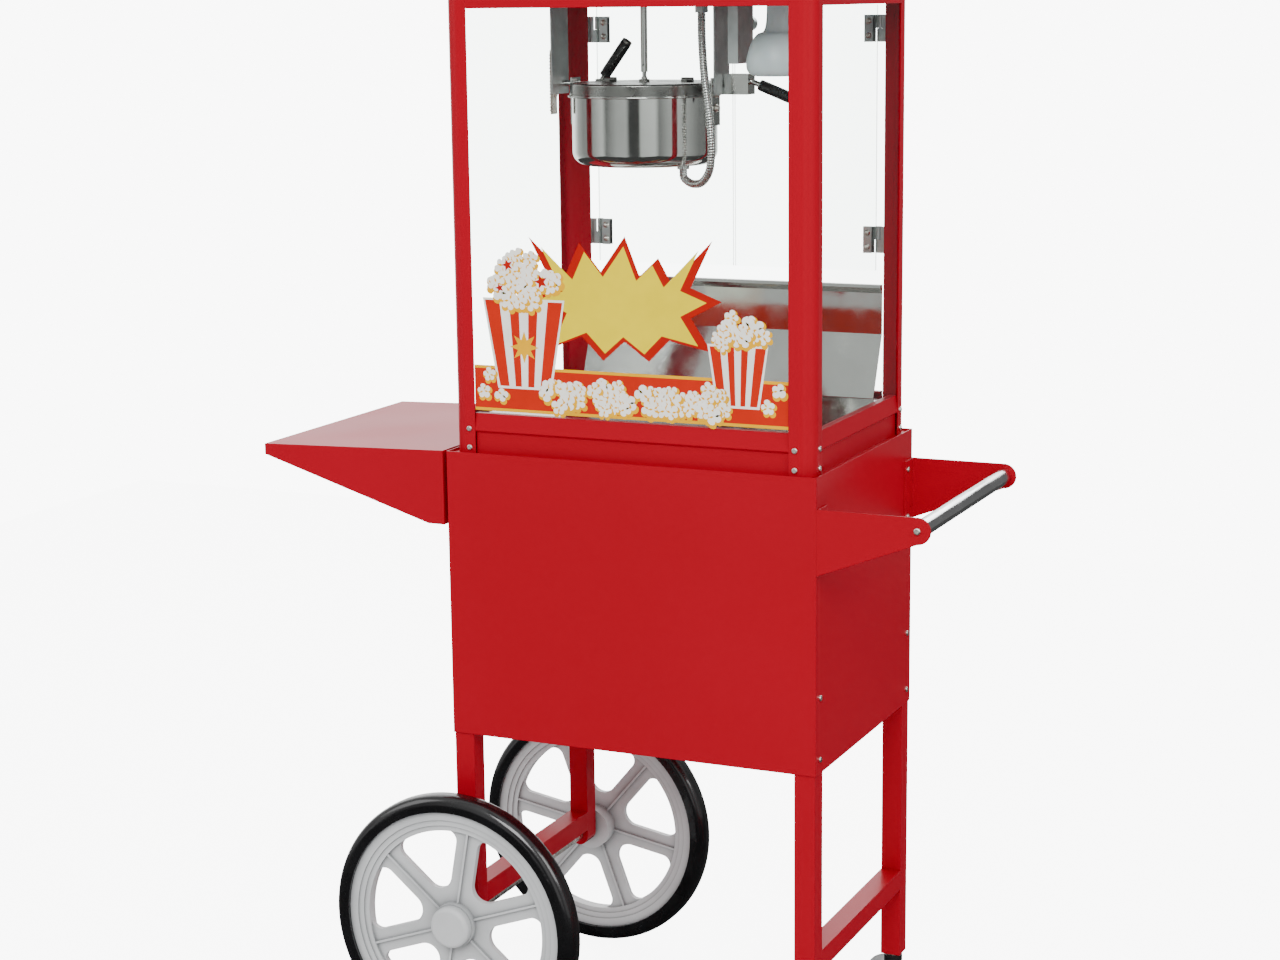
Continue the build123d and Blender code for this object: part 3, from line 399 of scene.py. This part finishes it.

# Kettle lid and its flap: pressed from the same stainless sheet, but dulled by oil and heat, and given a
# darker colour as painted reflection of dark surroundings.
lid_steel, lid_tree, lid_shader = finish("dulled_stainless_painted_dark_reflection", Metallic=1.0)
# Painted reflection: the darker tones 7E7D7B to 979592 stand in for the dark surroundings the lid mirrors.
tint(lid_tree, lid_shader, "7E7D7B", "979592", 14.0)
wear(lid_tree, lid_shader, "Roughness", 0.2, 0.34, 40.0)
paint(lid_steel, "kettle_lid", "kettle_flap")

# Gear motor: a grey cast housing that hangs in the header, over the ceiling plate. The
# casting is rough and dull.
casting, casting_tree, casting_shader = finish("grey_cast_housing", Roughness=0.6, Metallic=0.4)
tint(casting_tree, casting_shader, "5B5E61", "6B6E71", 60.0)
paint(casting, "gear_motor")

# Lamp holder: white porcelain, pressed and glazed. The glaze is smooth and mirrors the lamps
# in small bright spots.
porcelain, porcelain_tree, porcelain_shader = finish("glazed_porcelain", Roughness=0.15, IOR=1.52)
tint(porcelain_tree, porcelain_shader, "E8E6DF", "F1EFE9", 40.0)
paint(porcelain, "lamp_holder")

# Lamp: a reflector bulb of blown glass, frosted inside, so it looks milky white and glows a
# little where light passes.
frosted, frosted_tree, frosted_shader = finish(
    "frosted_lamp_glass", Roughness=0.35, IOR=1.5, Transmission_Weight=0.25, Subsurface_Weight=0.2
)
tint(frosted_tree, frosted_shader, "E4E7E8", "F2F4F4", 25.0)
paint(frosted, "lamp")

# Rockers: three switch keys, moulded in red plastic with a high gloss, that tilt in the
# bezels on the rear of the header.
rocker_red, rocker_tree, rocker_shader = finish(
    "red_moulded_rocker", Roughness=0.2, IOR=1.49, Coat_Weight=0.3
)
tint(rocker_tree, rocker_shader, "B01410", "C41D16", 90.0)
paint(rocker_red, "rocker_light", "rocker_warmer", "rocker_motor")

# Panes: clear float glass, held in the rails and posts. They are thin, so they let light
# straight through and mirror it faintly from their outer face.
clear, clear_tree = finish("clear_pane", Base_Color=srgb("FFFFFF"), Roughness=0.0, IOR=1.45)[:2]
pane_through = add(clear_tree, "ShaderNodeBsdfTransparent", {"Color": srgb("FAFCFB")})
pane_gloss = add(clear_tree, "ShaderNodeBsdfGlossy", {"Roughness": 0.02})
pane_side = add(clear_tree, "ShaderNodeNewGeometry")
pane_fresnel = add(clear_tree, "ShaderNodeFresnel", {"IOR": 1.3})
pane_edge = add(
    clear_tree,
    "ShaderNodeMapRange",
    {"To Max": 0.0},
    {"Value": pane_side.outputs["Backfacing"], "To Min": pane_fresnel.outputs["Fac"]},
)
pane_mix = add(
    clear_tree,
    "ShaderNodeMixShader",
    links={0: pane_edge.outputs["Result"], 1: pane_through.outputs["BSDF"], 2: pane_gloss.outputs["BSDF"]},
)
clear_tree.links.new(pane_mix.outputs["Shader"], clear_tree.nodes["Material Output"].inputs["Surface"])
paint(clear, "glass_panes")

# Doors: clear acrylic, cut from sheet. Its sawn edges scatter light, so they show as pale
# grey-green lines where the doors meet.
acrylic = clear.copy()
acrylic.name = "clear_acrylic"
acrylic_tree = acrylic.node_tree
acrylic_face = add(acrylic_tree, "ShaderNodeTexCoord")
acrylic_split = add(acrylic_tree, "ShaderNodeSeparateXYZ", links={"Vector": acrylic_face.outputs["Normal"]})
acrylic_flat = add(
    acrylic_tree, "ShaderNodeMath", links={0: acrylic_split.outputs["X"]}, operation="ABSOLUTE"
)
acrylic_edge = add(
    acrylic_tree,
    "ShaderNodeMapRange",
    {"From Min": 0.6, "From Max": 0.8, "To Max": 0.55},
    {"Value": acrylic_flat.outputs["Value"]},
)
acrylic_sawn = add(acrylic_tree, "ShaderNodeBsdfDiffuse", {"Color": srgb("C9D6D0")})
acrylic_out = acrylic_tree.nodes["Material Output"].inputs["Surface"]
acrylic_clear = acrylic_out.links[0].from_socket
acrylic_mix = add(
    acrylic_tree,
    "ShaderNodeMixShader",
    links={0: acrylic_edge.outputs["Result"], 1: acrylic_clear, 2: acrylic_sawn.outputs["BSDF"]},
)
acrylic_tree.links.new(acrylic_mix.outputs["Shader"], acrylic_out)
paint(acrylic, "door_left", "door_right")

# Conduit: a spiral of plated steel strip over the kettle's leads. It hangs from the ceiling's hex fitting
# and loops under the kettle to its gland.
spiral_route = [
    (0.1340, -0.0860, 1.3920),
    (0.1340, -0.0860, 1.3620),
    (0.1375, -0.0880, 1.3160),
    (0.1455, -0.0900, 1.2660),
    (0.1485, -0.0895, 1.2210),
    (0.1445, -0.0870, 1.1920),
    (0.1295, -0.0780, 1.1760),
    (0.1095, -0.0665, 1.1745),
    (0.0955, -0.0590, 1.1820),
    (0.0955, -0.0590, 1.1928),
]
spiral_radius, spiral_groove, spiral_pitch, spiral_step = 0.0053, 0.00055, 0.0034, 0.0006
spiral_sides, bend_share, bend_steps = 14, 0.45, 8
corners = [Vector(point) for point in spiral_route]
smooth = [corners[0]]
for before, corner, after in zip(corners[:-2], corners[1:-1], corners[2:]):
    reach = bend_share * min((corner - before).length, (after - corner).length)
    enter = corner + (before - corner).normalized() * reach
    leave = corner + (after - corner).normalized() * reach
    for step in range(bend_steps + 1):
        share = step / bend_steps
        smooth.append(enter * (1 - share) ** 2 + corner * 2 * share * (1 - share) + leave * share**2)
smooth.append(corners[-1])
spots, left_over = [smooth[0]], 0.0
for one, two in zip(smooth[:-1], smooth[1:]):
    span = (two - one).length
    along = spiral_step - left_over
    while along < span:
        spots.append(one.lerp(two, along / span))
        along += spiral_step
    left_over = span - (along - spiral_step)
spots.append(smooth[-1])
spiral_form = bmesh.new()
across = Vector((1, 0, 0))
spiral_rings = []
for number, spot in enumerate(spots):
    ahead = (spots[min(number + 1, len(spots) - 1)] - spots[max(number - 1, 0)]).normalized()
    across = (across - ahead * across.dot(ahead)).normalized()
    other = ahead.cross(across)
    ring = []
    for side in range(spiral_sides):
        around = 2 * math.pi * side / spiral_sides
        wave = math.cos(around - 2 * math.pi * number * spiral_step / spiral_pitch)
        radius = spiral_radius - spiral_groove * (0.5 - 0.5 * wave) ** 2
        outward = across * math.cos(around) + other * math.sin(around)
        ring.append(spiral_form.verts.new(spot + outward * radius))
    spiral_rings.append(ring)
for one, two in zip(spiral_rings[:-1], spiral_rings[1:]):
    for side in range(spiral_sides):
        beside = (side + 1) % spiral_sides
        spiral_form.faces.new((one[side], one[beside], two[beside], two[side])).smooth = True
spiral_form.faces.new(list(reversed(spiral_rings[0])))
spiral_form.faces.new(spiral_rings[-1])
bmesh.ops.recalc_face_normals(spiral_form, faces=spiral_form.faces)
spiral_conduit = shaped("spiral_conduit", spiral_form)
strip, strip_tree, strip_shader = finish("plated_steel_strip", Metallic=1.0)
tint(strip_tree, strip_shader, "B4B5B4", "D9D9D6", 260.0)
wear(strip_tree, strip_shader, "Roughness", 0.18, 0.36, 300.0)
spiral_conduit.data.materials.append(strip)
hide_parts("conduit")
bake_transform(spiral_conduit)

# Grips: black phenolic sleeves pushed on the dump handle and the lid flap's stud. Each is
# turned with a rounded end and a narrow groove near the bright stud.
phenolic, phenolic_tree, phenolic_shader = finish("black_phenolic_grip", Roughness=0.28, IOR=1.56)
tint(phenolic_tree, phenolic_shader, "0C0C0D", "171718", 60.0)
wear(phenolic_tree, phenolic_shader, "Roughness", 0.2, 0.38, 90.0)


def turned(name, profile, foot, lean, sides=36):
    """A piece turned round an axis: (radius, height) points spun, then laid along lean from foot."""
    form = bmesh.new()
    points = [form.verts.new((radius, 0, height)) for radius, height in profile]
    edges = [form.edges.new(pair) for pair in zip(points[:-1], points[1:])]
    bmesh.ops.spin(
        form,
        geom=points + edges,
        cent=(0, 0, 0),
        axis=(0, 0, 1),
        angle=2 * math.pi,
        steps=sides,
        use_merge=True,
    )
    bmesh.ops.remove_doubles(form, verts=form.verts, dist=0.00001)
    bmesh.ops.recalc_face_normals(form, faces=form.faces)
    turn = Vector(lean).to_track_quat("Z", "Y").to_matrix().to_4x4()
    bmesh.ops.transform(form, matrix=Matrix.Translation(foot) @ turn, verts=form.verts)
    for face in form.faces:
        face.smooth = True
    return shaped(name, form)


grip_long, grip_wide, grip_end, grip_dome = 0.0575, 0.0073, 0.005, 0.0054
groove_wide = grip_wide - 0.0002
grip_profile = [(0.0, -0.0003), (grip_wide - 0.002, -0.0003), (grip_wide - 0.0006, 0.0004)]
grip_profile += [(grip_wide, 0.0018), (grip_wide, 0.0038), (groove_wide, 0.0042)]
grip_profile += [(groove_wide, 0.0047), (grip_wide, 0.0051), (grip_wide, grip_long - grip_end)]
for step in range(1, 8):
    around = math.pi / 2 * step / 7
    end_radius = grip_wide * (0.4 + 0.6 * math.cos(around))
    grip_profile.append((end_radius, grip_long - grip_end + grip_dome * math.sin(around)))
grip_profile.append((0.0, grip_long + 0.0004))
for grip_name, grip_body, grip_foot, grip_lean in (
    ("dump_grip", "kettle", (0.19355, -0.036, 1.29993), (0.932, 0, -0.362)),
    ("flap_grip", "kettle_flap", (-0.0399, -0.006, 1.3098), (0.6, 0, 0.8)),
):
    grip = turned(grip_name, grip_profile, grip_foot, grip_lean)
    grip.data.materials.append(phenolic)
    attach(grip, grip_body)

# Kettle lip: the bowl's mouth is rolled outwards into a bright bead under the lid. It is
# polished with the bowl.
lip_centre = Vector((0.0315, -0.036, 0))
lip_spread, lip_level, lip_bead, lip_sides = 0.0986, 1.2862, 0.0013, 12
lip_form = bmesh.new()
lip_points = []
for step in range(lip_sides):
    around = 2 * math.pi * step / lip_sides
    lip_out, lip_up = lip_bead * math.cos(around), lip_bead * math.sin(around)
    lip_points.append(lip_form.verts.new((lip_spread + lip_out, 0, lip_level + lip_up)))
lip_edges = [
    lip_form.edges.new((lip_points[i], lip_points[(i + 1) % lip_sides])) for i in range(lip_sides)
]
bmesh.ops.spin(
    lip_form,
    geom=lip_points + lip_edges,
    cent=(0, 0, 0),
    axis=(0, 0, 1),
    angle=2 * math.pi,
    steps=96,
    use_merge=True,
)
bmesh.ops.remove_doubles(lip_form, verts=lip_form.verts, dist=0.00001)
bmesh.ops.recalc_face_normals(lip_form, faces=lip_form.faces)
bmesh.ops.translate(lip_form, vec=lip_centre, verts=lip_form.verts)
for face in lip_form.faces:
    face.smooth = True
lip = shaped("bowl_rolled_lip", lip_form)
lip.data.materials.append(polished)
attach(lip, "kettle")

# Hanger ratchet: a toothed plate of zinc-plated steel, fixed with two rivets to the outside
# of the left hanger.
ratchet_x, ratchet_thick = -0.0848, 0.0018
tooth_root, tooth_tip, tooth_foot, tooth_pitch, teeth_top = -0.0745, -0.0772, 1.266, 0.0042, 1.341
ratchet_edge = [(tooth_root, 1.345), (-0.0560, 1.345), (-0.0560, 1.322), (-0.0500, 1.316)]
ratchet_edge += [(-0.0500, 1.292), (-0.0580, 1.284), (-0.0580, 1.262), (tooth_root, 1.262)]
while tooth_foot < teeth_top:
    ratchet_edge += [(tooth_root, tooth_foot), (tooth_tip, tooth_foot + 0.0006)]
    ratchet_edge.append((tooth_root, tooth_foot + 0.0030))
    tooth_foot += tooth_pitch
ratchet_form = bmesh.new()
ratchet_face = ratchet_form.faces.new([ratchet_form.verts.new((ratchet_x, y, z)) for y, z in ratchet_edge])
ratchet_back = bmesh.ops.extrude_face_region(ratchet_form, geom=[ratchet_face])
ratchet_moved = [part for part in ratchet_back["geom"] if isinstance(part, bmesh.types.BMVert)]
bmesh.ops.translate(ratchet_form, vec=(-ratchet_thick, 0, 0), verts=ratchet_moved)
bmesh.ops.recalc_face_normals(ratchet_form, faces=ratchet_form.faces)
ratchet = shaped("hanger_ratchet", ratchet_form)
ratchet.data.materials.append(zinc)
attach(ratchet, "cart")

rivet_profile = [(0.0, 0.0), (0.0033, 0.0), (0.0031, 0.0009), (0.0021, 0.0017), (0.0, 0.0020)]
for rivet_y, rivet_z in ((-0.0650, 1.336), (-0.0650, 1.272)):
    rivet_foot = (ratchet_x - ratchet_thick, rivet_y, rivet_z)
    rivet = turned(f"ratchet_rivet_{round(rivet_z * 1000)}", rivet_profile, rivet_foot, (-1, 0, 0), 20)
    rivet.data.materials.append(zinc)
    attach(rivet, "cart")

# Latch bolts: two round-headed bolts with wide collars, zinc plated, screwed into the
# kettle's right ear.
ear_face, bolt_y = 0.1326, -0.0360
bolt_profile = [(0.0, 0.0), (0.0052, 0.0), (0.0052, 0.0008), (0.0042, 0.0010)]
bolt_profile += [(0.0042, 0.0036), (0.0036, 0.0042), (0.0, 0.0042)]
for bolt_z in (1.2700, 1.2880):
    bolt_foot = (ear_face, bolt_y, bolt_z)
    bolt = turned(f"latch_bolt_{round(bolt_z * 1000)}", bolt_profile, bolt_foot, (1, 0, 0), 24)
    bolt.data.materials.append(zinc)
    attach(bolt, "kettle")

# Hinge nuts: small zinc-plated dome nuts with washers, inside each door where its two hinge
# screws come through the acrylic.
nut_profile = [(0.0, -0.0001), (0.0042, -0.0001), (0.0042, 0.0006), (0.0031, 0.0007), (0.0031, 0.0018)]
nut_profile += [(0.0028, 0.0026), (0.0019, 0.0033), (0.0, 0.0036)]
door_inside, screw_reach, screw_shift = 0.1808, 0.013, 0.0095
for door_name, pin_x, side in (("left", -0.1415, 1), ("right", 0.2765, -1)):
    for level in (1.084, 1.367):
        for shift in (-screw_shift, screw_shift):
            nut = turned(
                f"{door_name}_hinge_nut_{round((level + shift) * 1000)}",
                nut_profile,
                (pin_x + side * screw_reach, door_inside, level + shift),
                (0, -1, 0),
                20,
            )
            nut.data.materials.append(zinc)
            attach(nut, door_name + "_door")

# Front print: a picture screen-printed on the outside of the front pane. A scarlet band with
# yellow lines carries heaps of popcorn, in front of a yellow burst and two striped tubs. The
# inks are matt, and each layer lies a hair further out than the one before it.
pane_face, pane_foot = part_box("glass_panes")[0].y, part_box("glass_panes")[0].z
post_low, post_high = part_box("corner_posts")
post_width = 0.0325
window_left = post_low.x + post_width
window_width = post_high.x - post_low.x - 2 * post_width
ink_gap, ink_step, ink_thick = 0.0001, 0.000002, 0.0000014
inks = []
for ink_name, ink_code in (
    ("scarlet_ink", "C4240A"),
    ("yellow_ink", "EDAE00"),
    ("white_ink", "FFFDF4"),
    ("burst_yellow_ink", "F0D600"),
    ("deep_red_ink", "B0140A"),
):
    ink, ink_tree, ink_shader = finish(ink_name, Roughness=0.5, IOR=1.48, Specular_IOR_Level=0.1)
    tint(ink_tree, ink_shader, ink_code, ink_code, 30.0)
    ramp = next(node for node in ink_tree.nodes if node.type == "VALTORGB")
    ramp.color_ramp.elements[0].color = [*(Vector(srgb(ink_code)[:3]) * 0.93), 1.0]
    inks.append(ink)
SCARLET, YELLOW, WHITE, BURST, DEEP = range(5)

print_form = bmesh.new()


def ink_patch(points, depth, colour):
    """A flat patch of ink through (x, z) points, in metres from the window's lower left."""
    y = pane_face - ink_gap - depth * ink_step
    outline = [print_form.verts.new((window_left + x, y, pane_foot + z)) for x, z in points]
    patch = print_form.faces.new(outline)
    patch.material_index = colour
    patch.normal_update()
    if patch.normal.y > 0:
        patch.normal_flip()


def ink_star(x, z, outer, inner, spikes, depth, colour, turn=0.0):
    """A star whose points alternate between two radii."""
    points = []
    for step in range(2 * spikes):
        reach = outer if step % 2 == 0 else inner
        angle = turn + math.pi * step / spikes + math.pi / 2
        points.append((x + reach * math.cos(angle), z + reach * math.sin(angle)))
    ink_patch(points, depth, colour)


band_left, band_foot, band_top, band_line = 0.0005, 0.004, 0.064, 0.004
band_right = window_width - band_left
for z0, z1, depth, colour in (
    (band_foot, band_top, 0, SCARLET),
    (band_foot, band_foot + band_line, 1, YELLOW),
    (band_top - band_line, band_top, 1, YELLOW),
):
    ink_patch([(band_left, z0), (band_right, z0), (band_right, z1), (band_left, z1)], depth, colour)

# The burst is an uneven star with a deep red border; its tips are in millimetres from its middle.
burst_x, burst_z = 0.205, 0.146
burst_tips = [(-122, 88), (-70, 40), (-50, 82), (-20, 46), (14, 92), (34, 42), (60, 66), (78, 34), (134, 90)]
burst_tips += [(104, 30), (146, 14), (104, -8), (132, -50), (74, -38), (46, -66), (12, -42), (-18, -68)]
burst_tips += [(-48, -38), (-104, -60), (-80, -10), (-128, 8), (-86, 22)]
for grow, depth, colour in ((1.0, 2, DEEP), (0.86, 3, BURST)):
    burst = [(burst_x + 0.001 * grow * x, burst_z + 0.001 * grow * z) for x, z in burst_tips]
    ink_patch(burst, depth, colour)


def popcorn(x, z, size, depth):
    """One popped kernel: a puffed white outline over a yellow shade, with yellow creases."""
    turn = random.uniform(0, 2 * math.pi)
    lobes = random.choice((4, 5, 5, 6))
    swell = [random.uniform(0.85, 1.12) for _ in range(lobes)]
    outline = []
    for step in range(lobes * 7):
        angle = 2 * math.pi * step / (lobes * 7)
        lobe = angle * lobes / (2 * math.pi)
        bump = abs(math.sin(math.pi * lobe)) ** 0.6
        outline.append((turn + angle, size * (0.62 + 0.40 * bump) * swell[int(lobe) % lobes]))
    for over, right, down, layer, colour in (
        (1.12, 0.14, 0.24, depth, YELLOW),
        (0.94, 0.0, 0.0, depth + 1, WHITE),
    ):
        puff_x, puff_z = x + right * size, z - down * size
        puff = [(puff_x + r * over * math.cos(a), puff_z + r * over * math.sin(a)) for a, r in outline]
        ink_patch(puff, layer, colour)
    for crease in range(3):
        angle = turn + 2 * math.pi * (crease * 2 + 1) / lobes
        along_x, along_z = math.cos(angle), math.sin(angle)
        points = []
        for reach, wide in ((0.08, 0.0), (0.34, 0.13), (0.7, 0.0), (0.34, -0.13)):
            right, up = reach * along_x - wide * along_z, reach * along_z + wide * along_x
            points.append((x + size * right, z + size * up))
        ink_patch(points, depth + 2, YELLOW)


def heap(x, z, half_width, half_height, count, size, depth):
    """A pile of popped kernels inside an ellipse, drawn from the back to the front."""
    kernels = []
    for _ in range(count):
        angle = random.uniform(0, 2 * math.pi)
        reach = math.sqrt(random.random())
        kernels.append((x + half_width * reach * math.cos(angle), z + half_height * reach * math.sin(angle)))
    kernels.sort(key=lambda kernel: -kernel[1])
    for number, (kernel_x, kernel_z) in enumerate(kernels):
        popcorn(kernel_x, kernel_z, size * random.uniform(0.85, 1.1), depth + 3 * number)


def tub(x, foot, top, half_foot, half_top, stripes, depth):
    """A tapering paper tub: a white border, a scarlet body and white stripes."""

    def across(share, level):
        half = half_foot + (half_top - half_foot) * (level - foot) / (top - foot)
        return x + half * share

    def panel(left, right, border, layer, colour):
        low_z, high_z = foot - border, top + border
        low_left, low_right = across(left, foot) - border, across(right, foot) + border
        high_left, high_right = across(left, top) - border, across(right, top) + border
        edges = [(low_left, low_z), (low_right, low_z), (high_right, high_z), (high_left, high_z)]
        ink_patch(edges, layer, colour)

    panel(-1, 1, 0.003, depth, WHITE)
    panel(-1, 1, 0, depth + 1, SCARLET)
    for stripe in range(stripes):
        share = -1 + 2 * (stripe + 1) / (stripes + 1)
        wide = 0.5 / (stripes + 1)
        panel(share - wide, share + wide, 0, depth + 2, WHITE)


random.seed(5)
tub(x=0.074, foot=0.038, top=0.150, half_foot=0.036, half_top=0.056, stripes=3, depth=6)
ink_star(x=0.074, z=0.090, outer=0.021, inner=0.010, spikes=8, depth=10, colour=YELLOW)
heap(x=0.072, z=0.178, half_width=0.050, half_height=0.030, count=34, size=0.0125, depth=12)
for star_x, star_z, star_size in ((0.052, 0.196, 0.0085), (0.100, 0.176, 0.010), (0.040, 0.166, 0.0065)):
    ink_star(star_x, star_z, star_size, star_size * 0.42, spikes=5, depth=125, colour=DEEP, turn=0.3)
tub(x=0.372, foot=0.030, top=0.104, half_foot=0.026, half_top=0.038, stripes=3, depth=6)
heap(x=0.372, z=0.122, half_width=0.034, half_height=0.020, count=18, size=0.0115, depth=12)
for heap_x, heap_depth in ((0.128, 70), (0.200, 125), (0.270, 70), (0.334, 125)):
    heap(heap_x, 0.031, half_width=0.032, half_height=0.018, count=17, size=0.0115, depth=heap_depth)
for kernel_x, kernel_z in ((0.022, 0.052), (0.013, 0.030), (0.040, 0.026), (0.412, 0.030), (0.426, 0.052)):
    popcorn(kernel_x, kernel_z, size=0.0105, depth=20)

front_print = shaped("front_print", print_form)
for ink in inks:
    front_print.data.materials.append(ink)
ink_film = front_print.modifiers.new("film", "SOLIDIFY")
ink_film.thickness = ink_thick
ink_film.offset = -1
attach(front_print, "cart")
